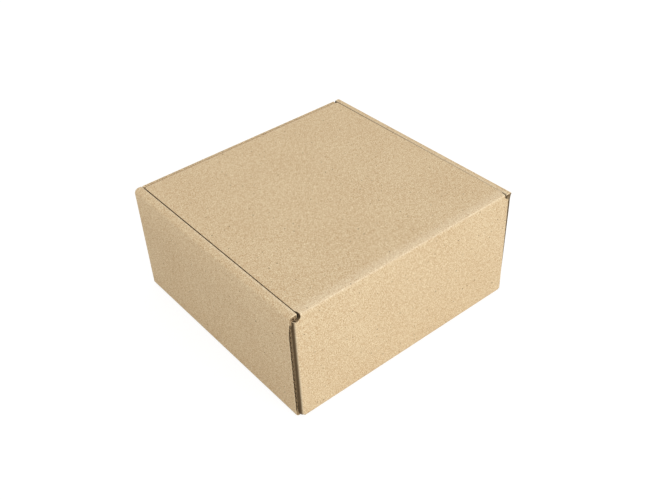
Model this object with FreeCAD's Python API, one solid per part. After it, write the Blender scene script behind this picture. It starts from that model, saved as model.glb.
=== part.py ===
import FreeCAD, Part
import math
import os

# A mailer box folded from one die-cut sheet of corrugated board, lid closed.
# Origin: centre of the underside. +X along the hinge crease, +Y to the back wall, +Z up. Millimetres.

# Board
board = 1.6                     # thickness of the corrugated board
crease_inner = 0.6              # radius on the inside of a crease
ply_gap = 0.2                   # air between plies that lie against each other

# Fluted core, which shows at the raw edges that cross the flutes
liner = 0.2                     # thickness of each flat facing
fluting = 0.22                  # thickness of the wavy paper between them
flute_pitch = 3.4
flute_foot = 0.35               # half the width of the wave's foot on a facing
flute_crest = 0.3               # half the width of a void where the wave's crest closes it

# Space inside the closed box
inside_length = 150.0           # along the hinge crease
inside_width = 150.0            # front to back
inside_height = 70.0

# Rolled end walls, each an outer ply, a top and an inner ply that goes back down to the base
roll_outer_radius = 1.4         # inside radius of the crease between the outer ply and the top
roll_inner_radius = 0.2         # inside radius of the crease between the top and the inner ply
roll_front_inset = 0.7          # from the front wall's outer face to the raw front end
roll_hinge_inset = 3.2          # from the back wall's outer face to the raw end beside the hinge
roll_flare_height = 16.0        # over its top stretch that end curves out to the back wall
roll_flare_radius = 40.0
roll_flare_inset = 0.2          # what is left of the inset at the very top
inner_ply_clearance = 0.3       # from an end of the inner ply to the front or back wall
inner_ply_lift = 0.15           # air under the inner ply

# Locking tabs on the inner plies, and their slots in the base
tab_width = 25.0
tab_offset = 35.0               # from the middle of the wall to the middle of a tab
tab_recess = 0.3                # from the underside of the base up to the tab's end
tab_corner = 0.5
slot_clearance = 0.15

# Front wall
front_wall_drop = 0.6           # its raw top edge lies this far below the lid's outer face
front_relief_radius = 2.2       # round cut at each end of that edge
front_relief_reach = 0.7        # from the inner ply's face in to the deepest point of the cut

# Corner flaps, folded off the front and back walls into the rolled end walls
corner_flap_length = 62.0
corner_flap_lift = 0.4          # above the base
corner_flap_drop = 1.4          # below the underside of the rolled top
corner_flap_taper = 2.0         # each long edge draws in by this much at the free end
corner_flap_corner = 6.0

# Relief cuts where the lid's crease meets the rolled walls
relief_radius = 3.3
relief_reach = 1.0              # from the inner ply's face in to the deepest point of the cut
relief_setback = 1.65           # from the crease's centre back to the centre of the cut in the lid
relief_rise = 1.45              # from the crease's centre up to the centre of the cut in the wall

# Lid
lid_clearance = 0.2             # air between the lid and an inner ply, at the hinge
lid_front_taper = 0.2           # each side edge draws in by this much at the front
lid_corner_notch = 1.2          # radius of the small cut at each end of the front crease

# Tuck flap and its two ears
tuck_clearance = 0.3            # from the front wall's inner face to the lid's front crease
tuck_depth = 50.0
tuck_lean = 11.0                # degrees that the flap leans in, so that it swings clear
ear_clearance = 0.3             # from an inner ply to an ear
ear_length = 45.0
ear_top_drop = 6.0              # below the front crease, at the ear's root
ear_bottom_rise = 3.0           # above the flap's lower edge, at the ear's root
ear_top_slope = 13.0            # the upper edge falls by this much at the tip
ear_bottom_slope = 7.0          # the lower edge rises by this much at the tip
ear_corner = 8.0

# Worked out from the sizes above
crease_outer = crease_inner + board
half_inner_x = inside_length / 2
half_flap_x = half_inner_x + board + ply_gap + board
half_x = half_flap_x + ply_gap + board
half_inner_y = inside_width / 2
half_y = half_inner_y + board
height = board + inside_height + board
roll_outer_crease = roll_outer_radius + board
roll_inner_crease = roll_inner_radius + board
fold_x = half_flap_x - crease_outer
relief_x = half_inner_x - relief_reach + relief_radius
front_relief_x = half_inner_x - front_relief_reach + front_relief_radius
crease_y = half_y - crease_outer
crease_z = height - crease_outer
front_crease_y = tuck_clearance + crease_outer - half_inner_y
lid_half_x = half_inner_x - lid_clearance
half_ear_x = half_inner_x - ear_clearance
ear_fold_x = half_ear_x - crease_outer
overcut = 1.0


def point(x, y, z=0.0):
    return FreeCAD.Vector(x, y, z)


def line(start, end):
    return Part.makeLine(start, end)


def arc(centre, radius, start_deg, end_deg):
    def at(deg):
        angle = math.radians(deg)
        return centre + point(math.cos(angle), math.sin(angle)) * radius
    return Part.Arc(at(start_deg), at((start_deg + end_deg) / 2), at(end_deg)).toShape()


def sheet_section(start, heading, moves):
    # Section of a folded sheet, drawn as a walk along its outer face with the board on the left.
    # A move is ("run", length), ("fluted", length) for a run whose flutes cross the section, or
    # ("fold", degrees), with an inside radius of its own as a third entry. Every fold turns left.
    here = start
    outer_edges = []
    inner_edges = []
    voids = []
    first_cap = None
    for kind, amount, *own_radius in moves:
        along = point(math.cos(math.radians(heading)), math.sin(math.radians(heading)))
        left = point(-along.y, along.x)
        if first_cap is None:
            first_cap = line(here + left * board, here)
        if kind in ("run", "fluted"):
            ahead = here + along * amount
            outer_edges.append(line(here, ahead))
            inner_edges.append(line(here + left * board, ahead + left * board))
            if kind == "fluted":
                voids += flute_voids(here, heading, amount)
        else:
            inner_radius = own_radius[0] if own_radius else crease_inner
            outer_radius = inner_radius + board
            centre = here + left * outer_radius
            first = heading - 90
            outer_edges.append(arc(centre, outer_radius, first, first + amount))
            inner_edges.append(arc(centre, inner_radius, first, first + amount))
            heading += amount
            turned = point(math.sin(math.radians(heading)), -math.cos(math.radians(heading)))
            ahead = centre + turned * outer_radius
        here = ahead
    left = point(-math.sin(math.radians(heading)), math.cos(math.radians(heading)))
    last_cap = line(here, here + left * board)
    border = Part.Wire(outer_edges + [last_cap] + inner_edges[::-1] + [first_cap])
    return Part.makeFace([border] + voids, "Part::FaceMakerBullseye")


def flute_voids(start, heading, length):
    # Outlines of the voids on both sides of the wavy paper, along a run of board.
    count = int(length / flute_pitch)
    margin = (length - count * flute_pitch) / 2
    half_base = flute_pitch / 2 - flute_foot
    crest = board - liner - fluting
    voids = []
    for i in range(2 * count - 1):
        middle = margin + (i + 1) * flute_pitch / 2
        foot_level, crest_level = (liner, crest) if i % 2 == 0 else (board - liner, board - crest)
        corners = [
            (middle - half_base, foot_level, 0),
            (middle + half_base, foot_level, 0),
            (middle + flute_crest, crest_level, 0),
            (middle - flute_crest, crest_level, 0),
        ]
        outline = rounded_outline(corners).OuterWire
        outline.rotate(point(0, 0), point(0, 0, 1), heading)
        outline.translate(start)
        voids.append(outline)
    return voids


def rounded_outline(corners):
    # Flat face with the corners (x, y, radius) in order, each rounded by its radius.
    edges = []
    ends = []
    for i, (x, y, radius) in enumerate(corners):
        here = point(x, y)
        before = point(*corners[i - 1][:2]) - here
        after = point(*corners[(i + 1) % len(corners)][:2]) - here
        before.normalize()
        after.normalize()
        half_angle = before.getAngle(after) / 2
        reach = radius / math.tan(half_angle)
        first = here + before * reach
        last = here + after * reach
        if radius > 0:
            bisector = before + after
            bisector.normalize()
            middle = here + bisector * (radius / math.sin(half_angle) - radius)
            edges.append(Part.Arc(first, middle, last).toShape())
        ends.append((first, last))
    for i, (first, last) in enumerate(ends):
        edges.append(line(last, ends[(i + 1) % len(ends)][0]))
    return Part.Face(Part.Wire(Part.__sortEdges__(edges)))


def swept_x(face, low, high):
    # A section in the YZ plane, swept along X.
    face.translate(point(0, 0, low))
    solid = face.extrude(point(0, 0, high - low))
    solid.Placement = FreeCAD.Placement(point(0, 0), FreeCAD.Rotation(point(1, 1, 1), 120))
    return solid


def swept_y(face, low, high):
    # A section in the XZ plane, swept along Y.
    face.translate(point(0, 0, -high))
    solid = face.extrude(point(0, 0, high - low))
    solid.Placement = FreeCAD.Placement(point(0, 0), FreeCAD.Rotation(point(1, 0, 0), 90))
    return solid


def swept_z(face, low, high):
    # A section in the XY plane, swept along Z.
    face.translate(point(0, 0, low))
    return face.extrude(point(0, 0, high - low))


def mirrored(shape, across):
    return shape.mirror(point(0, 0), across)


def rolled_end_wall():
    # Half of the base, the outer ply, the rolled top and the inner ply, at +X.
    root_x = half_x - crease_outer
    base_y = half_y - roll_hinge_inset
    base = Part.makeBox(root_x, 2 * base_y, board, point(0, -base_y))
    moves = [
        ("fold", 90),
        ("fluted", height - crease_outer - roll_outer_crease),
        ("fold", 90, roll_outer_radius),
        ("run", half_x - half_inner_x - roll_outer_crease - roll_inner_crease),
        ("fold", 90, roll_inner_radius),
        ("fluted", height - roll_inner_crease - board - inner_ply_lift),
    ]
    front_y = roll_front_inset - half_y
    hinge_y = half_y - roll_flare_inset
    roll = swept_y(sheet_section(point(root_x, 0), 0, moves), front_y, hinge_y)
    return base.fuse(roll.cut(hinge_end_cuts() + inner_ply_cuts()))


def hinge_end_cuts():
    # The roll's raw end beside the hinge stands straight up, then flares out along an arc.
    low_x = half_inner_x - overcut
    width = half_x - low_x + overcut
    end_y = half_y - roll_hinge_inset
    flare_z = height - roll_flare_height
    straight = Part.makeBox(width, roll_flare_radius, flare_z + overcut, point(low_x, end_y, -overcut))
    flare_centre = point(low_x, end_y + roll_flare_radius, flare_z)
    flare = Part.makeCylinder(roll_flare_radius, width, flare_centre, point(1, 0, 0))
    return [straight, flare]


def inner_ply_cuts():
    # Below its crease the inner ply is shorter, so that it stands between the front and back walls.
    low_x = half_inner_x - overcut
    width = overcut + board + ply_gap / 2
    end_y = half_inner_y - inner_ply_clearance
    hinge_cut = Part.makeBox(width, half_y, height - roll_inner_crease, point(low_x, end_y))
    return [hinge_cut, mirrored(hinge_cut, point(0, 1, 0))]


def locking_tab(middle):
    low = middle - tab_width / 2
    high = middle + tab_width / 2
    top = board + inner_ply_lift
    corners = [
        (low, top, 0),
        (low, tab_recess, tab_corner),
        (high, tab_recess, tab_corner),
        (high, top, 0),
    ]
    return swept_x(rounded_outline(corners), half_inner_x, half_inner_x + board)


def tab_slots():
    slots = []
    for middle in (-tab_offset, tab_offset):
        corner = point(half_inner_x - slot_clearance, middle - tab_width / 2 - slot_clearance, -overcut)
        size = (board + 2 * slot_clearance, tab_width + 2 * slot_clearance, board + overcut)
        slots.append(Part.makeBox(*size, corner))
    return slots


def back_wall():
    # Half of the base and the back wall, up to the middle of the lid's crease.
    moves = [
        ("run", half_y - crease_outer),
        ("fold", 90),
        ("run", height - 2 * crease_outer),
        ("fold", 45),
    ]
    return swept_x(sheet_section(point(0, 0), 0, moves), -fold_x, fold_x)


def front_wall():
    # Half of the base and the front wall, whose top is a raw edge that shows its flutes.
    moves = [("run", half_y - crease_outer), ("fold", 90)]
    foot = swept_x(sheet_section(point(0, 0), 0, moves), -fold_x, fold_x)
    section = sheet_section(point(-fold_x, -half_y), 0, [("fluted", 2 * fold_x)])
    wall = swept_z(section, crease_outer, height - front_wall_drop)
    return mirrored(foot, point(0, 1, 0)).fuse(wall.cut(front_relief_cuts()))


def front_relief_cuts():
    # Round cuts at both ends of the front wall's top edge, beside the rolled tops.
    cuts = []
    for side in (-1, 1):
        centre = point(side * front_relief_x, -half_y - overcut, height - front_wall_drop)
        cuts.append(Part.makeCylinder(front_relief_radius, board + 2 * overcut, centre, point(0, 1, 0)))
    return cuts


def corner_flap():
    # Flap at -X on the back wall: a vertical crease, then a tapered plate between the plies.
    low = board + corner_flap_lift
    high = height - board - corner_flap_drop
    fold = sheet_section(point(-fold_x, half_y), 180, [("fold", 90)])
    tip_y = crease_y - corner_flap_length
    corners = [
        (crease_y, low, 0),
        (crease_y, high, 0),
        (tip_y, high - corner_flap_taper, corner_flap_corner),
        (tip_y, low + corner_flap_taper, corner_flap_corner),
    ]
    plate = swept_x(rounded_outline(corners), -half_flap_x, board - half_flap_x)
    return swept_z(fold, low, high).fuse(plate)


def relief_cuts():
    # Round cuts at both ends of the lid's crease: one down through the lid, one through the wall.
    cuts = []
    for side in (-1, 1):
        lid_centre = point(side * relief_x, crease_y + relief_setback, crease_z)
        wall_centre = point(side * relief_x, crease_y - board, crease_z + relief_rise)
        depth = crease_outer + board + overcut
        cuts.append(Part.makeCylinder(relief_radius, crease_outer + overcut, lid_centre))
        cuts.append(Part.makeCylinder(relief_radius, depth, wall_centre, point(0, 1, 0)))
    return cuts


def tray():
    back = back_wall().fuse([corner_flap(), mirrored(corner_flap(), point(1, 0, 0))]).cut(relief_cuts())
    front_flap = mirrored(corner_flap(), point(0, 1, 0))
    front = front_wall().fuse([front_flap, mirrored(front_flap, point(1, 0, 0))])
    end = rolled_end_wall()
    tabs = [locking_tab(middle) for middle in (-tab_offset, tab_offset)]
    slots = tab_slots()
    sheet = back.fuse([front, end, mirrored(end, point(1, 0, 0))])
    sheet = sheet.cut(slots + [mirrored(slot, point(1, 0, 0)) for slot in slots])
    sheet = sheet.fuse(tabs + [mirrored(tab, point(1, 0, 0)) for tab in tabs])
    return sheet.removeSplitter()


def lid_panel():
    # Other half of the lid's crease, the flat lid and the crease of the tuck flap.
    start = point(
        crease_y + crease_outer * math.cos(math.radians(45)),
        crease_z + crease_outer * math.sin(math.radians(45)),
    )
    moves = [("fold", 45), ("run", crease_y - front_crease_y), ("fold", 90 + tuck_lean)]
    panel = swept_x(sheet_section(start, 135, moves), -lid_half_x, lid_half_x)
    return panel.cut([side_trim(), mirrored(side_trim(), point(1, 0, 0))])


def side_trim():
    # Wedge off the +X side edge, which draws in towards the front.
    front_y = -half_y - overcut
    back_y = half_y + overcut
    corners = [
        (lid_half_x, back_y, 0),
        (lid_half_x - lid_front_taper, front_y, 0),
        (lid_half_x + overcut, front_y, 0),
        (lid_half_x + overcut, back_y, 0),
    ]
    return swept_z(rounded_outline(corners), crease_z - overcut, height + overcut)


def corner_notches():
    # Small round cuts at both ends of the tuck flap's crease.
    notches = []
    for side in (-1, 1):
        centre = point(side * lid_half_x, front_crease_y - crease_outer / 2, crease_z - crease_outer)
        notches.append(Part.makeCylinder(lid_corner_notch, 2 * crease_outer + overcut, centre))
    return notches


def tuck_flap():
    # The flap hangs from its crease at the origin, outer face towards -Y, and is then leant in.
    section = sheet_section(point(-ear_fold_x, -crease_outer), 0, [("fluted", 2 * ear_fold_x)])
    plate = swept_z(section, -tuck_depth, 0)
    flap = plate.fuse([ear(), mirrored(ear(), point(1, 0, 0))])
    flap.rotate(point(0, 0), point(1, 0, 0), tuck_lean)
    flap.translate(point(0, front_crease_y, crease_z))
    return flap


def ear():
    # Ear at +X: a crease down the flap's side edge, then a plate that runs back beside the inner ply.
    low = ear_bottom_rise - tuck_depth
    high = -ear_top_drop
    fold = sheet_section(point(ear_fold_x, -crease_outer), 0, [("fold", 90)])
    corners = [
        (0, low, 0),
        (ear_length, low + ear_bottom_slope, ear_corner),
        (ear_length, high - ear_top_slope, ear_corner),
        (0, high, 0),
    ]
    plate = swept_x(rounded_outline(corners), half_ear_x - board, half_ear_x)
    return swept_z(fold, low, high).fuse(plate)


def lid():
    panel = lid_panel().cut(corner_notches() + relief_cuts())
    return panel.fuse(tuck_flap()).removeSplitter()


def main():
    os.makedirs("parts", exist_ok=True)
    tray().exportStep("parts/tray.step")
    lid().exportStep("parts/lid.step")


main()
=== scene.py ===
import bpy
import bmesh
import math
from mathutils import Matrix, Vector
from mathutils.bvhtree import BVHTree


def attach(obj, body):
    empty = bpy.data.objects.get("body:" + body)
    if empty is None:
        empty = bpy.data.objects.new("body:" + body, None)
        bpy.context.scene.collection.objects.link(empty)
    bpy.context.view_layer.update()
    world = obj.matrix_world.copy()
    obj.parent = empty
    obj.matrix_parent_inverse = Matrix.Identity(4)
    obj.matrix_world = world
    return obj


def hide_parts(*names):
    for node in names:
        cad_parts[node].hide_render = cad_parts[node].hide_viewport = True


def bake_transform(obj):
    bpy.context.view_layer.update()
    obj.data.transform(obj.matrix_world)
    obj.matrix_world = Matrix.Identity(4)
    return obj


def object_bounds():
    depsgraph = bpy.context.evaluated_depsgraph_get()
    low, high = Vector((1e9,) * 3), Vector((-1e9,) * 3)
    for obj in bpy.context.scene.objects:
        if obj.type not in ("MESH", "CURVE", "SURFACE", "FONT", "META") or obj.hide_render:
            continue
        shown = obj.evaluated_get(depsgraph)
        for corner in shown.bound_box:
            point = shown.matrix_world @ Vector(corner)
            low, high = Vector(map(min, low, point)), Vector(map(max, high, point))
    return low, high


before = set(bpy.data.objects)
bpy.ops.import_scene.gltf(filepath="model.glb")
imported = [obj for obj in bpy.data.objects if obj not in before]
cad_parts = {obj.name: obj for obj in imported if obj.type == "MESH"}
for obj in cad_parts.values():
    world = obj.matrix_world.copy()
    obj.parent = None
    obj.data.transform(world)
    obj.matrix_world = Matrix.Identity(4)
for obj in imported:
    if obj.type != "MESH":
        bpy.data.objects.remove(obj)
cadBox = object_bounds()
print("stage: frame loaded")

mm = 0.001
boxLow, boxTop = cadBox


def addObject(name, data):
    piece = bpy.data.objects.new(name, data)
    bpy.context.scene.collection.objects.link(piece)
    return piece


# Camera, fitted to the outer corners of the box

camera = {
    "azimuth": 142.81,              # degrees, from which side the camera looks
    "elevation": 38.31,
    "roll": -3.41,
    "place": (0.252, 0.334, 0.359),
    "focalPixels": 868,
    "pictureWidth": 650,
    "sensor": 36.0,
    "nearest": 0.01,
    "farthest": 20.0,
}


def turned(degrees, axis):
    return Matrix.Rotation(math.radians(degrees), 4, axis)


def addCamera():
    data = bpy.data.cameras.new("camera")
    data.sensor_width = camera["sensor"]
    data.lens = camera["focalPixels"] / camera["pictureWidth"] * camera["sensor"]
    data.clip_start = camera["nearest"]
    data.clip_end = camera["farthest"]
    holder = addObject("camera", data)
    tilt = 90 - camera["elevation"]
    aim = turned(camera["azimuth"], "Z") @ turned(tilt, "X") @ turned(camera["roll"], "Z")
    holder.matrix_world = Matrix.Translation(camera["place"]) @ aim
    bpy.context.scene.camera = holder


# Light and floor

studio = {
    "keyFrom": (-0.12, 0.90, 0.40),     # direction from the box to the key light
    "keyDistance": 1.8,
    "keySize": 1.3,
    "keyPower": 12.9,
    "keyColour": (0.982, 1.0, 1.0),
    "skyLevel": 0.855,
    "skyColour": (1.0, 0.985, 0.975, 1),
    "skyShown": (1, 1, 1, 1),           # what the camera sees of the sky
    "floorSize": 6.0,
    "floorColour": (0.78, 0.78, 0.78, 1),
    "floorShown": (0.20, 0.20, 0.20, 1),    # what the camera sees of the floor, with a glow added
    "floorGlow": 0.86,
}


def whiteForCamera(tree, lit, shown, out):
    # The camera and mirror rays see one shader, the light that falls on the box comes from the other.
    path = tree.nodes.new("ShaderNodeLightPath")
    seen = mathNode(tree, "MAXIMUM", path.outputs["Is Camera Ray"], path.outputs["Is Glossy Ray"])
    mix = tree.nodes.new("ShaderNodeMixShader")
    tree.links.new(seen, mix.inputs[0])
    tree.links.new(lit, mix.inputs[1])
    tree.links.new(shown, mix.inputs[2])
    tree.links.new(mix.outputs[0], out)


def addWorld():
    world = bpy.data.worlds.new("sky")
    world.use_nodes = True
    tree = world.node_tree
    tree.nodes.clear()
    out = tree.nodes.new("ShaderNodeOutputWorld")
    lit = tree.nodes.new("ShaderNodeBackground")
    lit.inputs["Color"].default_value = studio["skyColour"]
    lit.inputs["Strength"].default_value = studio["skyLevel"]
    shown = tree.nodes.new("ShaderNodeBackground")
    shown.inputs["Color"].default_value = studio["skyShown"]
    whiteForCamera(tree, lit.outputs[0], shown.outputs[0], out.inputs["Surface"])
    bpy.context.scene.world = world


def floorMaterial():
    mat = bpy.data.materials.new("paleFloor")
    mat.use_nodes = True
    tree = mat.node_tree
    tree.nodes.clear()
    out = tree.nodes.new("ShaderNodeOutputMaterial")
    lit = tree.nodes.new("ShaderNodeBsdfDiffuse")
    lit.inputs["Color"].default_value = studio["floorColour"]
    shaded = tree.nodes.new("ShaderNodeBsdfDiffuse")
    shaded.inputs["Color"].default_value = studio["floorShown"]
    glow = tree.nodes.new("ShaderNodeEmission")
    glow.inputs["Strength"].default_value = studio["floorGlow"]
    shown = tree.nodes.new("ShaderNodeAddShader")
    tree.links.new(shaded.outputs[0], shown.inputs[0])
    tree.links.new(glow.outputs[0], shown.inputs[1])
    whiteForCamera(tree, lit.outputs[0], shown.outputs[0], out.inputs["Surface"])
    return mat


def addFloor():
    mesh = bpy.data.meshes.new("floor")
    bm = bmesh.new()
    bmesh.ops.create_grid(bm, x_segments=1, y_segments=1, size=studio["floorSize"] / 2)
    bm.to_mesh(mesh)
    bm.free()
    mesh.materials.append(floorMaterial())
    floor = addObject("floor", mesh)


def addKeyLight():
    data = bpy.data.lights.new("keyLight", "AREA")
    data.shape = "DISK"
    data.size = studio["keySize"]
    data.energy = studio["keyPower"]
    data.color = studio["keyColour"]
    light = addObject("keyLight", data)
    away = Vector(studio["keyFrom"]).normalized()
    light.location = (boxLow + boxTop) / 2 + away * studio["keyDistance"]
    light.rotation_mode = "QUATERNION"
    light.rotation_quaternion = away.to_track_quat("Z", "Y")


# Shader nodes and groups, shared by the paper's faces and its cut edges

def mathNode(tree, operation, first, second=0.0, third=None):
    node = tree.nodes.new("ShaderNodeMath")
    node.operation = operation
    for socket, value in zip(node.inputs, (first, second, third)):
        if isinstance(value, (int, float)):
            socket.default_value = value
        elif value is not None:
            tree.links.new(value, socket)
    return node.outputs[0]


def noiseNode(tree, vector, size, detail, roughness=0.5):
    node = tree.nodes.new("ShaderNodeTexNoise")
    node.noise_dimensions = "2D"
    node.inputs["Scale"].default_value = 1 / size
    node.inputs["Detail"].default_value = detail
    node.inputs["Roughness"].default_value = roughness
    tree.links.new(vector, node.inputs["Vector"])
    return node.outputs["Fac"]


def stretchedVector(tree, vector, turnDegrees, stretch):
    node = tree.nodes.new("ShaderNodeMapping")
    node.inputs["Rotation"].default_value = (0, 0, math.radians(turnDegrees))
    node.inputs["Scale"].default_value = (1, 1 / stretch, 1)
    tree.links.new(vector, node.inputs["Vector"])
    return node.outputs["Vector"]


def smoothMask(tree, value, low, high):
    node = tree.nodes.new("ShaderNodeMapRange")
    node.interpolation_type = "SMOOTHSTEP"
    node.inputs["From Min"].default_value = low
    node.inputs["From Max"].default_value = high
    tree.links.new(value, node.inputs["Value"])
    return node.outputs["Result"]


def mixColours(tree, factor, first, second):
    node = tree.nodes.new("ShaderNodeMix")
    node.data_type = "RGBA"
    factorSocket, firstSocket, secondSocket = node.inputs[0], node.inputs[6], node.inputs[7]
    for socket, value in ((factorSocket, factor), (firstSocket, first), (secondSocket, second)):
        if isinstance(value, tuple):
            socket.default_value = value
        else:
            tree.links.new(value, socket)
    return node.outputs[2]


def layered(tree, colour, mask, layer):
    share = mathNode(tree, "MULTIPLY", mask, layer["share"])
    return mixColours(tree, share, colour, layer["colour"])


def scaledColour(tree, colour, scale):
    node = tree.nodes.new("ShaderNodeVectorMath")
    node.operation = "SCALE"
    tree.links.new(colour, node.inputs[0])
    tree.links.new(scale, node.inputs["Scale"])
    return node.outputs[0]


def attributeNode(tree, name):
    node = tree.nodes.new("ShaderNodeAttribute")
    node.attribute_name = name
    return node.outputs["Fac"]


def sheetVector(tree):
    node = tree.nodes.new("ShaderNodeUVMap")
    node.uv_map = "sheet"
    return node.outputs["UV"]


def newGroup(name, inputs, outputs):
    tree = bpy.data.node_groups.new(name, "ShaderNodeTree")
    tree.interface.new_socket(name="vector", in_out="INPUT", socket_type="NodeSocketVector")
    for label in inputs:
        tree.interface.new_socket(name=label, in_out="INPUT", socket_type="NodeSocketFloat")
    for label in outputs:
        tree.interface.new_socket(name=label, in_out="OUTPUT", socket_type="NodeSocketFloat")
    return tree, tree.nodes.new("NodeGroupInput"), tree.nodes.new("NodeGroupOutput")


def placeGroup(tree, group, vector, **values):
    node = tree.nodes.new("ShaderNodeGroup")
    node.node_tree = group
    tree.links.new(vector, node.inputs["vector"])
    for label, value in values.items():
        node.inputs[label].default_value = value
    return node


fibre = {
    "grain": {"size": 0.70 * mm, "detail": 2.0, "roughness": 0.6},
    "streak": {"size": 0.42 * mm, "detail": 1.0},
    "streakLength": 3.2,            # times its width
    "streakTurns": (22.0, 80.0, -40.0),
    "mottle": {"size": 2.6 * mm, "detail": 3.0, "roughness": 0.55},
    "cloud": {"size": 30 * mm, "detail": 2.0},
    "middle": 0.5,                  # average of a noise
}


def fibreGroup():
    # The tone varies about the middle by the shares that the group is given.
    tree, start, end = newGroup("paperFibre", ("grain", "streaks", "mottle", "cloud"), ("tone", "height"))
    place = start.outputs["vector"]
    streaks = 0.0
    for turn in fibre["streakTurns"]:
        line = stretchedVector(tree, place, turn, fibre["streakLength"])
        streaks = mathNode(tree, "ADD", noiseNode(tree, line, **fibre["streak"]), streaks)
    noises = {
        "grain": noiseNode(tree, place, **fibre["grain"]),
        "streaks": mathNode(tree, "DIVIDE", streaks, float(len(fibre["streakTurns"]))),
        "mottle": noiseNode(tree, place, **fibre["mottle"]),
        "cloud": noiseNode(tree, place, **fibre["cloud"]),
    }
    tone = fibre["middle"]
    for label, noise in noises.items():
        centred = mathNode(tree, "SUBTRACT", noise, fibre["middle"])
        tone = mathNode(tree, "MULTIPLY_ADD", centred, start.outputs[label], tone)
    tree.links.new(tone, end.inputs["tone"])
    tree.links.new(mathNode(tree, "ADD", noises["grain"], noises["streaks"]), end.inputs["height"])
    return tree


speck = {
    "dark": {"spacing": 5.5 * mm, "size": 0.27 * mm, "share": 0.5},
    "pale": {"spacing": 4 * mm, "size": 0.26 * mm, "share": 0.5},
    "ragged": {"size": 0.22 * mm, "detail": 1.0},
}


def speckGroup():
    # Share is how many of the places have a speck. Each has its own size and strength.
    tree, start, end = newGroup("paperSpecks", ("spacing", "size", "share"), ("mask",))
    place, spacing = start.outputs["vector"], start.outputs["spacing"]
    cells = tree.nodes.new("ShaderNodeTexVoronoi")
    cells.voronoi_dimensions = "2D"
    tree.links.new(place, cells.inputs["Vector"])
    tree.links.new(mathNode(tree, "DIVIDE", 1.0, spacing), cells.inputs["Scale"])
    parts = tree.nodes.new("ShaderNodeSeparateColor")
    tree.links.new(cells.outputs["Color"], parts.inputs["Color"])
    distance = mathNode(tree, "MULTIPLY", cells.outputs["Distance"], spacing)
    growth = mathNode(tree, "ADD", noiseNode(tree, place, **speck["ragged"]), parts.outputs["Green"])
    reach = mathNode(tree, "MULTIPLY", start.outputs["size"], growth)
    inside = mathNode(tree, "LESS_THAN", distance, reach)
    chosen = mathNode(tree, "LESS_THAN", parts.outputs["Red"], start.outputs["share"])
    strength = mathNode(tree, "MULTIPLY", chosen, parts.outputs["Blue"])
    tree.links.new(mathNode(tree, "MULTIPLY", inside, strength), end.inputs["mask"])
    return tree


bpy.context.scene.view_settings.view_transform = "Standard"
addCamera()
addWorld()
addFloor()
addKeyLight()
paperFibre = fibreGroup()
paperSpecks = speckGroup()
print("stage: camera, light, floor and shader groups")


def finishMaterial(tree, colour, height, look):
    bsdf = tree.nodes["Principled BSDF"]
    bsdf.inputs["Roughness"].default_value = look["roughness"]
    bsdf.inputs["Specular IOR Level"].default_value = look["specular"]
    tree.links.new(colour, bsdf.inputs["Base Color"])
    bump = tree.nodes.new("ShaderNodeBump")
    bump.inputs["Strength"].default_value = look["bump"]
    bump.inputs["Distance"].default_value = look["bumpReach"]
    tree.links.new(height, bump.inputs["Height"])
    tree.links.new(bump.outputs["Normal"], bsdf.inputs["Normal"])


# Kraft paper, the outer and inner face of the board

kraft = {
    "darkFibre": (0.415, 0.235, 0.10, 1),
    "paleFibre": (0.88, 0.755, 0.51, 1),
    "fibres": {"grain": 1.3, "streaks": 1.0, "mottle": 0.42, "cloud": 0.12},
    "paintedTopLight": 0.065,                  # painted light: how much paler the end walls are made towards their tops
    # crease wear and painted highlight: creases rubbed paler, and paler still where they turn to the
    # light
    "wornAndHighlight": {"colour": (0.92, 0.80, 0.60, 1), "share": 0.62},
    "paleSpeck": {"colour": (0.88, 0.76, 0.56, 1), "share": 0.45},
    "darkSpeck": {"colour": (0.10, 0.06, 0.03, 1), "share": 0.95},
    # painted shade, darkening the crevices beside the raw ends and the gap beside the far roll
    "paintedCreviceShade": {"colour": (0.085, 0.052, 0.022, 1), "share": 0.95},
    "roughness": 0.88,
    "specular": 0.2,
    "bump": 0.25,
    "bumpReach": 0.06 * mm,
}


def kraftMaterial():
    mat = bpy.data.materials.new("kraftPaper")
    mat.use_nodes = True
    tree = mat.node_tree
    place = sheetVector(tree)
    fibres = placeGroup(tree, paperFibre, place, **kraft["fibres"])
    dark = placeGroup(tree, paperSpecks, place, **speck["dark"])
    pale = placeGroup(tree, paperSpecks, place, **speck["pale"])
    height = fibres.outputs["height"]
    colour = mixColours(tree, fibres.outputs["tone"], kraft["darkFibre"], kraft["paleFibre"])
    # painted light: the end walls' colour grows paler towards their tops
    paintedTopLight = mathNode(tree, "MULTIPLY_ADD", attributeNode(tree, "lit"), kraft["paintedTopLight"], 1.0)
    colour = scaledColour(tree, colour, paintedTopLight)
    # crease wear and painted highlight
    wornAndHighlight = mathNode(tree, "MULTIPLY", attributeNode(tree, "wearAndHighlight"), height)
    colour = layered(tree, colour, wornAndHighlight, kraft["wornAndHighlight"])
    colour = layered(tree, colour, pale.outputs["mask"], kraft["paleSpeck"])
    colour = layered(tree, colour, dark.outputs["mask"], kraft["darkSpeck"])
    # painted shade in the crevices
    colour = layered(tree, colour, attributeNode(tree, "paintedCreviceShade"), kraft["paintedCreviceShade"])
    finishMaterial(tree, colour, height, kraft)
    return mat


# Cut edges, with pale paper at both sides of a dark fluted core; where the board is solid its hollows are
# painted shade

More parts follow.
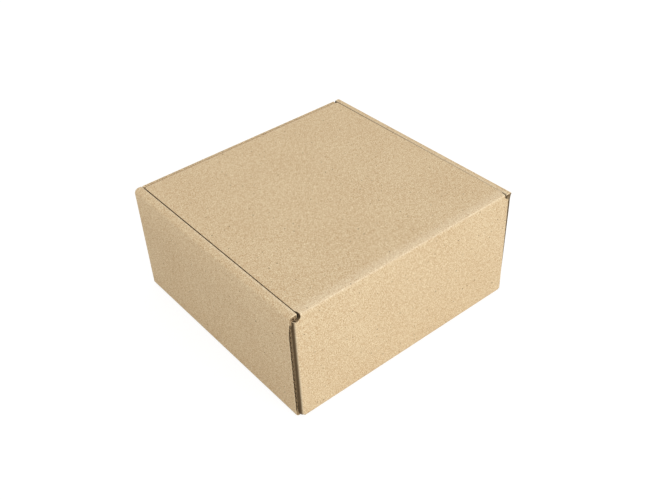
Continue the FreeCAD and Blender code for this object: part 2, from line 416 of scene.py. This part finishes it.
cutEdge = {
    "rimColour": (0.78, 0.63, 0.42, 1),         # on the outer side of the sheet
    # painted shade: the rim on the inner side of the sheet is darker, as it lies in shade
    "shadedInnerRimColour": (0.40, 0.29, 0.17, 1),
    "coreColour": (0.33, 0.23, 0.125, 1),
    # painted shade: the dark of the flutes' hollows, and of the cuts that lie in shadow
    "hollowShadeColour": (0.06, 0.038, 0.018, 1),
    "sideColour": (0.29, 0.20, 0.11, 1),        # where the cut runs along the flutes
    "rimWidth": 0.125,              # share of the board's thickness
    "rimBlur": 0.3,                 # share of the rim's width
    "flutes": {"size": 1.7 * mm, "detail": 1.0},
    "hollowShare": (0.42, 0.60),
    "fibres": {"grain": 1.0, "streaks": 1.0, "mottle": 0.5, "cloud": 0.2},
    "shade": 0.5,                   # added to the fibres' tone, which scales the colour
    "roughness": 0.95,
    "specular": 0.2,
    "bump": 0.5,
    "bumpReach": 0.1 * mm,
}


def cutEdgeMaterial():
    mat = bpy.data.materials.new("cutEdge")
    mat.use_nodes = True
    tree = mat.node_tree
    place = sheetVector(tree)
    fibres = placeGroup(tree, paperFibre, place, **cutEdge["fibres"])
    across = attributeNode(tree, "across")
    depth = mathNode(tree, "MINIMUM", across, mathNode(tree, "SUBTRACT", 1.0, across))
    rim, blur = cutEdge["rimWidth"], cutEdge["rimBlur"]
    core = smoothMask(tree, depth, rim * (1 - blur), rim * (1 + blur))
    # painted shade in the flutes' hollows where the board is solid
    hollowShadeMask = smoothMask(tree, noiseNode(tree, place, **cutEdge["flutes"]), *cutEdge["hollowShare"])
    inner = mixColours(tree, hollowShadeMask, cutEdge["hollowShadeColour"], cutEdge["coreColour"])
    inner = mixColours(tree, attributeNode(tree, "painted"), cutEdge["coreColour"], inner)
    inner = mixColours(tree, attributeNode(tree, "crossing"), cutEdge["sideColour"], inner)
    # the inner rim is darker by painted shade
    rimColour = mixColours(tree, across, cutEdge["rimColour"], cutEdge["shadedInnerRimColour"])
    colour = mixColours(tree, core, rimColour, inner)
    # the front wall's raw edge is painted as pale as the rims
    colour = mixColours(tree, attributeNode(tree, "paleFrontEdge"), colour, cutEdge["rimColour"])
    colour = mixColours(tree, attributeNode(tree, "shadow"), colour, cutEdge["hollowShadeColour"])
    shade = mathNode(tree, "ADD", fibres.outputs["tone"], cutEdge["shade"])
    finishMaterial(tree, scaledColour(tree, colour, shade), fibres.outputs["height"], cutEdge)
    return mat


boardMaterials = [kraftMaterial(), cutEdgeMaterial()]
paperIndex, cutIndex = 0, 1
print("stage: materials")


# The folded sheet, from merged copies of the frame's meshes

sheet = {
    "hairline": 0.004 * mm,         # how far a point may be off a plane that it lies on
    "pointGap": 0.001 * mm,         # points nearer than this are one
    "seamGap": 0.02 * mm,           # and so are points of a seam nearer than this
    "sharpAngle": 30.0,
    "facing": 0.9,                  # least part of a normal along the axis that a face looks along
    "flatWeight": 100,              # pull of the large faces on the shading
    "panelShift": 0.5,              # metres from one panel's paper to the next one's
}

panel = {
    "lid": 74.95 * mm,              # the lid lies within this, in X
    "outerPly": 78.5 * mm,          # the end walls' outer plies lie outside this
    "frontWall": -74.9 * mm,        # the front wall lies in front of this, in Y
    "backWall": 74.6 * mm,          # the back wall lies behind this
    "base": 1.76 * mm,              # the base lies below this, in Z
}

roll = {
    "inner": (76.8 * mm, 71.4 * mm),    # centre of the crease beside the lid, in X and Z
    "radius": 1.8 * mm,
    "sharpness": 0.7,                   # 0 leaves the crease round, 1 makes it square
}

crease = {
    "radius": 2.2 * mm,             # outside radius of the lid's crease
    "slack": 1.01,                  # points of a round crease lie within this many radii
    "sharpness": 0.55,
    "margin": 1.6 * mm,             # flat board below the crease that goes to the lid with it
    "rows": 3,
    "lidRows": (0.5 * mm, 1.1 * mm, 1.8 * mm, 2.8 * mm, 4.2 * mm, 6.5 * mm),
}

creaseY = boxTop.y - crease["radius"]
creaseZ = boxTop.z - crease["radius"]


def mergedNode(name):
    bm = bmesh.new()
    bm.from_mesh(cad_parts[name].data)
    bmesh.ops.remove_doubles(bm, verts=bm.verts, dist=sheet["pointGap"])
    return bm


def openCrease(bm):
    # Takes off the faces on the plane where tray and lid meet, half way round the crease.
    def onPlane(v):
        return v.co.y > creaseY and abs((v.co.y - creaseY) - (v.co.z - creaseZ)) < sheet["hairline"]
    inside = [f for f in bm.faces if all(onPlane(v) for v in f.verts)]
    bmesh.ops.delete(bm, geom=inside, context="FACES")
    bm.normal_update()


def facesFrom(seed, stopsAt):
    # The faces that can be reached from the seed without crossing an edge that stops.
    found, todo = {seed}, [seed]
    while todo:
        for edge in todo.pop().edges:
            if stopsAt(edge):
                continue
            near = set(edge.link_faces) - found
            found |= near
            todo += near
    return found


def paperSide(bm, up):
    # One side of the sheet: the faces that smooth creases join to the largest flat one.
    def isSharp(edge):
        return edge.is_boundary or edge.calc_face_angle() > math.radians(sheet["sharpAngle"])
    level = [f for f in bm.faces if f.normal.z * up > sheet["facing"]]
    return facesFrom(max(level, key=lambda f: f.calc_area()), isSharp)


def markPaper(bm):
    # Faces on neither side of the sheet are cut edges and the walls of flutes.
    sides = [paperSide(bm, -1), paperSide(bm, 1)]
    for face in bm.faces:
        onSide = face in sides[0] or face in sides[1]
        face.material_index = paperIndex if onSide else cutIndex
    return sides


def sideTree(bm, side):
    points = [v.co for v in bm.verts]
    return BVHTree.FromPolygons(points, [[v.index for v in f.verts] for f in side])


def measureAcross(bm, sides):
    # 0 on the outer side of the sheet, 1 on the inner one.
    layer = bm.verts.layers.float.new("across")
    bm.verts.index_update()
    trees = [sideTree(bm, side) for side in sides]
    for v in bm.verts:
        near, far = [tree.find_nearest(v.co)[3] for tree in trees]
        v[layer] = near / max(near + far, sheet["hairline"])


def unrollSheet(bm, endFlutes):
    # Flutes run along V: front to back in the base, lid and end walls, and up and down elsewhere.
    layer = bm.loops.layers.uv.new("sheet")
    for face in bm.faces:
        size = [abs(part) for part in face.normal]
        main = size.index(max(size))
        shift = sheet["panelShift"] * (2 * main + (face.normal[main] < 0))
        for loop in face.loops:
            x, y, z = loop.vert.co
            if main == 2:
                u, v = x, y
            elif main == 1:
                u, v = x, z
            else:
                u, v = (z, y) if endFlutes else (y, z)
            loop[layer].uv = (u + shift, v)


def smoothStep(value, low, high):
    t = min(1, max(0, (value - low) / (high - low)))
    return t * t * (3 - 2 * t)


def sharpened(out, up, radius, sharpness):
    # Moves a point of a round crease towards the corner that its two flats would make.
    reach = math.hypot(out, up)
    if out <= 0 or up <= 0 or reach > crease["slack"] * radius:
        return out, up
    grow = 1 + ((reach / max(out, up)) ** sharpness - 1) * reach / radius
    return out * grow, up * grow


def sharpenCreases(bm):
    # The lid's crease and the one beside it on each roll are tighter than their round solids.
    middleX, middleZ = roll["inner"]
    for v in bm.verts:
        if v.co.y > creaseY and abs(v.co.x) < middleX - roll["radius"]:
            out, up = v.co.y - creaseY, v.co.z - creaseZ
            out, up = sharpened(out, up, crease["radius"], crease["sharpness"])
            v.co.y, v.co.z = creaseY + out, creaseZ + up
        out, up = middleX - abs(v.co.x), v.co.z - middleZ
        out, up = sharpened(out, up, roll["radius"], roll["sharpness"])
        v.co.x = math.copysign(middleX - out, v.co.x)
        v.co.z = middleZ + up


hingeCorner = {
    "rollFrom": 74.85 * mm,         # the near roll's raw end stops a little short of the back wall
    "rollAbove": 70.9 * mm,
    "rollPly": 78.55 * mm,
    "rollEnd": 74.9 * mm,
    "farStart": 73.4 * mm,          # the far roll's raw end swings out behind the back wall
    "farSwing": 1.9 * mm,
    "cutFrom": 73.5 * mm,           # the lid's side edge runs into its round cut without a step
    "cutTo": 74.75 * mm,
    "cutStart": 72.8 * mm,
    "cutSlack": 0.1 * mm,
    "cutLength": 1.8 * mm,
    "cutEase": 0.7 * mm,
}


def easeHingeCorners(bm):
    cut = hingeCorner
    for v in bm.verts:
        x, y, z = v.co
        onRoll = x > cut["rollFrom"] and (z > cut["rollAbove"] or x > cut["rollPly"])
        if onRoll and y > cut["rollEnd"]:
            v.co.y = cut["rollEnd"]
        if x < -panel["outerPly"] and y > cut["farStart"] - sheet["hairline"]:
            v.co.y = max(y, cut["farStart"] + cut["farSwing"] * math.sqrt(max(z, 0) / boxTop.z))
        along = y - cut["cutStart"]
        inCut = cut["cutFrom"] < abs(x) < cut["cutTo"] and z > creaseZ
        if inCut and -cut["cutSlack"] < along < cut["cutLength"]:
            ease = cut["cutEase"] * (1 - smoothStep(along, 0, cut["cutLength"]))
            v.co.x = math.copysign(min(abs(x) + ease, cut["cutTo"]), x)


shadow = {
    "reliefFrom": 70.0 * mm,        # the round relief cuts at the ends of the lid's crease, in X
    "reliefBehind": 71.0 * mm,
    "reliefAbove": 67.0 * mm,
    "relief": 0.8,
    "lidSide": 0.55,                # the lid's side edges, deep beside the rolls
    "farEnd": 0.5,                  # the far roll's raw end
}


def shadowAt(place, normal):
    x, y, z = place
    inRelief = shadow["reliefFrom"] < abs(x) < panel["lid"]
    if inRelief and y > shadow["reliefBehind"] and z > shadow["reliefAbove"]:
        return shadow["relief"]
    if z > creaseZ and abs(x) < roll["inner"][0] and abs(normal.x) > sheet["facing"]:
        return shadow["lidSide"]
    if x < -panel["outerPly"] and normal.y > sheet["facing"]:
        return shadow["farEnd"]
    return 0.0


def measureCuts(bm):
    # crossing is 1 on a cut across the flutes and 0 on one along them. painted is 1 where the board is
    # solid and the shade of its flutes' hollows is only painted. A third mark is 1 on the front wall's
    # raw edge, painted as pale as its rims.
    crossing = bm.faces.layers.float.new("crossing")
    painted = bm.faces.layers.float.new("painted")
    paleFrontEdge = bm.faces.layers.float.new("paleFrontEdge")
    shade = bm.faces.layers.float.new("shadow")
    for face in bm.faces:
        place = face.calc_center_median()
        side = abs(place.x)
        alongY = place.z > creaseZ or place.z < panel["base"] or side > panel["outerPly"]
        solid = side < roll["inner"][0] if alongY else place.y > 0
        face[crossing] = abs(face.normal.y) if alongY else abs(face.normal.z)
        face[painted] = float(solid)
        face[paleFrontEdge] = float(place.y < panel["frontWall"])
        face[shade] = shadowAt(place, face.normal)


def boardMesh(name, endFlutes):
    bm = mergedNode(name)
    openCrease(bm)
    measureAcross(bm, markPaper(bm))
    unrollSheet(bm, endFlutes)
    sharpenCreases(bm)
    easeHingeCorners(bm)
    bm.normal_update()
    measureCuts(bm)
    return bm


def cutAt(bm, faces, place, normal):
    edges = {e for f in faces for e in f.edges}
    verts = {v for f in faces for v in f.verts}
    geom = list(faces) + list(edges) + list(verts)
    bmesh.ops.bisect_plane(bm, geom=geom, plane_co=place, plane_no=normal)


def splitBackTop(bm):
    # Takes the top of the back wall off the tray and returns it, for the lid's mesh.
    level = creaseZ - crease["margin"]
    back = [f for f in bm.faces if min(v.co.y for v in f.verts) > panel["backWall"]]
    cutAt(bm, back, (0, 0, level), (0, 0, 1))

    def onLevel(edge):
        return all(abs(v.co.z - level) < sheet["hairline"] for v in edge.verts)
    bm.faces.index_update()
    ridge = Vector((0, boxTop.y, creaseZ))
    seed = min(bm.faces, key=lambda f: (f.calc_center_median() - ridge).length)
    found = {f.index for f in facesFrom(seed, onLevel)}
    top = bm.copy()
    bmesh.ops.delete(top, geom=[f for f in top.faces if f.index not in found], context="FACES")
    bmesh.ops.delete(bm, geom=[f for f in bm.faces if f.index in found], context="FACES")
    return top


def joinMeshes(bm, other):
    carrier = bpy.data.meshes.new("carrier")
    other.to_mesh(carrier)
    other.free()
    bm.from_mesh(carrier)
    bpy.data.meshes.remove(carrier)
    seam = [v for v in bm.verts if any(e.is_boundary for e in v.link_edges)]
    bmesh.ops.remove_doubles(bm, verts=seam, dist=sheet["seamGap"])


def rowsAcrossCrease(bm):
    # Extra rows in the flat board beside the crease, where it is rubbed and painted lighter.
    for i in range(1, crease["rows"]):
        shift = crease["margin"] * i / crease["rows"]
        low = [f for f in bm.faces if min(v.co.y for v in f.verts) > creaseY]
        cutAt(bm, low, (0, 0, creaseZ - shift), (0, 0, 1))
    for shift in crease["lidRows"]:
        cutAt(bm, bm.faces, (0, creaseY - shift, 0), (0, 1, 0))


endLight = {
    "from": 40 * mm,                # painted light: the end walls are made a little paler towards their tops
    "to": 70 * mm,
    "rows": (45 * mm, 50 * mm, 55 * mm, 60 * mm, 65 * mm),
}


def rowsOnEnds(bm):
    # Rows across the end walls' outer faces, where their painted light changes.
    outside = boxTop.x - sheet["hairline"]
    for level in endLight["rows"]:
        outer = [f for f in bm.faces if min(abs(v.co.x) for v in f.verts) > outside]
        cutAt(bm, outer, (0, 0, level), (0, 0, 1))


# Crease wear and painted highlight: creases are made paler, partly as rubbed paper and partly as a
# painted highlight where they turn to the light. The lid's flat beside its crease is made paler by
# painted light.
wearAndHighlight = {
    "hinge": 2.4,                   # the lid's crease
    "hingePower": 2.0,
    "beside": 0.34,                 # painted light on the flat of the lid beside its crease
    "spread": 6.0 * mm,
    "inside": -0.1,                 # the inner side's normals point down or forwards more than this
    "front": 1.5,                   # the lid's front crease
    "frontFrom": -72.0 * mm,
    "rim": 1.9,                     # the rolls' creases beside the lid
    "corner": 0.45,                 # the upright creases
    "floor": 0.25,                  # the creases of the base
    "floorBelow": 35.5 * mm,
    "floorTurn": 0.05,
}

# Painted shade: colour darkened in the crevices between the end walls' raw ends and the corner flaps'
# folds, and in the gap beside the far roll, where shade falls.
paintedCreviceShade = {
    "foldFrom": 76.3 * mm,          # the corner flaps' folds, beside the raw ends, in X
    "foldBeyond": 73.0 * mm,        # and in Y
    "foldTurn": (0.45, 0.92),       # sideways part of the normal, from no painted shade to full painted shade
    "gap": (0.5, 1.0),              # painted shade in the gap beside the far roll, at its back and front
    "gapTurn": (0.1, 0.85),
}


def paperNormal(v):
    normal = sum((f.normal for f in v.link_faces if f.material_index == paperIndex), Vector())
    if normal.length:
        normal.normalize()
    return normal


def wearAndHighlightAt(v, normal):
    # 0 on flat board and more where a crease is rubbed pale and given a painted highlight, or where the
    # lid's flat beside it is painted lighter. Bend is 1 half way round a crease.
    bend = (1 - max(abs(part) for part in normal)) / (1 - math.sqrt(0.5))
    side, ahead, up = abs(v.co.x), v.co.y, v.co.z
    rollX, rollZ = roll["inner"]
    if side < rollX and ahead > creaseY - wearAndHighlight["spread"] and up > creaseZ:
        if min(normal.y, normal.z) < wearAndHighlight["inside"]:
            return 0
        beside = wearAndHighlight["beside"] * (1 - smoothStep(creaseY - ahead, 0, wearAndHighlight["spread"]))
        beside *= smoothStep(up, creaseZ, boxTop.z)
        return max(beside, wearAndHighlight["hinge"] * bend ** wearAndHighlight["hingePower"])
    if up > rollZ and ahead < wearAndHighlight["frontFrom"] and side < panel["lid"]:
        return wearAndHighlight["front"] * math.sqrt(max(bend, 0)) if normal.z > 0 else 0
    if up > rollZ:
        return wearAndHighlight["rim"] * bend if side < rollX else 0
    byFloor = up < wearAndHighlight["floorBelow"] and abs(normal.z) > wearAndHighlight["floorTurn"]
    return bend * (wearAndHighlight["floor"] if byFloor else wearAndHighlight["corner"])


# painted shade, 0 where none is painted and up to 1 in the darkest crevice
def paintedCreviceShadeAt(v, normal):
    side, up = abs(v.co.x), v.co.z
    rollX, rollZ = roll["inner"]
    inFold = paintedCreviceShade["foldFrom"] < side < panel["outerPly"] and abs(v.co.y) > paintedCreviceShade["foldBeyond"]
    if inFold and up < rollZ:
        return smoothStep(abs(normal.x), *paintedCreviceShade["foldTurn"])
    if up > rollZ and -sheet["hairline"] < v.co.x + rollX < roll["radius"] + sheet["hairline"]:
        atBack, atFront = paintedCreviceShade["gap"]
        share = atBack + (atFront - atBack) * (boxTop.y - v.co.y) / (boxTop.y - boxLow.y)
        return share * smoothStep(normal.x, *paintedCreviceShade["gapTurn"])
    return 0


def measureWearAndPaintedLight(bm):
    wornAndHighlight = bm.verts.layers.float.new("wearAndHighlight")
    paintedShade = bm.verts.layers.float.new("paintedCreviceShade")
    lit = bm.verts.layers.float.new("lit")
    for v in bm.verts:
        normal = paperNormal(v)
        if not normal.length:
            continue
        v[wornAndHighlight] = wearAndHighlightAt(v, normal)
        v[paintedShade] = paintedCreviceShadeAt(v, normal)
        # painted light on the end walls' outer plies, paler towards their tops
        if abs(v.co.x) > panel["outerPly"]:
            v[lit] = smoothStep(v.co.z, endLight["from"], endLight["to"])


def addBoard(bm, name):
    mesh = bpy.data.meshes.new(name)
    bm.to_mesh(mesh)
    bm.free()
    if "custom_normal" in mesh.attributes:
        mesh.attributes.remove(mesh.attributes["custom_normal"])
    for mat in boardMaterials:
        mesh.materials.append(mat)
    mesh.shade_smooth()
    mesh.set_sharp_from_angle(angle=math.radians(sheet["sharpAngle"]))
    piece = addObject(name, mesh)
    normals = piece.modifiers.new("flatBoard", "WEIGHTED_NORMAL")
    normals.keep_sharp = True
    normals.weight = sheet["flatWeight"]
    return piece


trayMesh = boardMesh("tray", True)
lidMesh = boardMesh("lid", False)
joinMeshes(lidMesh, splitBackTop(trayMesh))
rowsAcrossCrease(lidMesh)
rowsOnEnds(trayMesh)
measureWearAndPaintedLight(trayMesh)
measureWearAndPaintedLight(lidMesh)
print("stage: board meshes, tray", len(trayMesh.faces), "lid", len(lidMesh.faces))

trayBoard = addBoard(trayMesh, "tray_board")
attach(trayBoard, "tray")
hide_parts("tray")

lidBoard = addBoard(lidMesh, "lid_board")
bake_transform(lidBoard)
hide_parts("lid")
print("stage: board")
